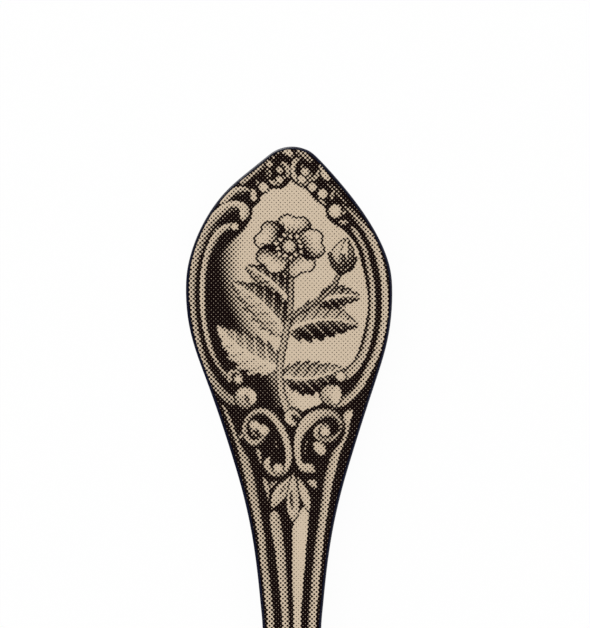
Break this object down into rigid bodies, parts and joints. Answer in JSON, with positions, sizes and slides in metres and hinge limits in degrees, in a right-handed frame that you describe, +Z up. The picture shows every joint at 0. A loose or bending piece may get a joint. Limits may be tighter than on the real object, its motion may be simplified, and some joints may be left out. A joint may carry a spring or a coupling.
{
  "type": "serving spoon",
  "caption": "Moulded serving spoon with a navy back and rim, a cream face, and a printed scrollwork foil on the flat leaf-shaped handle end.",
  "frame": {"origin": "on the table that the spoon lies on, under the middle of its length and on the centre line of its stem", "axes": "+Z up out of the bowl and away from the table; +Y along the spoon towards the handle's tip; +X across, to the right when the face is seen with the handle's tip up"},
  "size_m": [0.044, 0.236, 0.014],
  "materials": {
    "navy_melamine": "polished moulded melamine, navy",
    "cream_melamine": "polished moulded melamine, cream",
    "printed_foil": "printed decal fused under clear melamine glaze, warm black halftone on cream"
  },
  "bodies": {
    "root": {"back_moulding": "navy_melamine", "face_moulding": "cream_melamine", "handle_foil": "printed_foil", "bowl_foil": "printed_foil"}
  },
  "joints": []
}
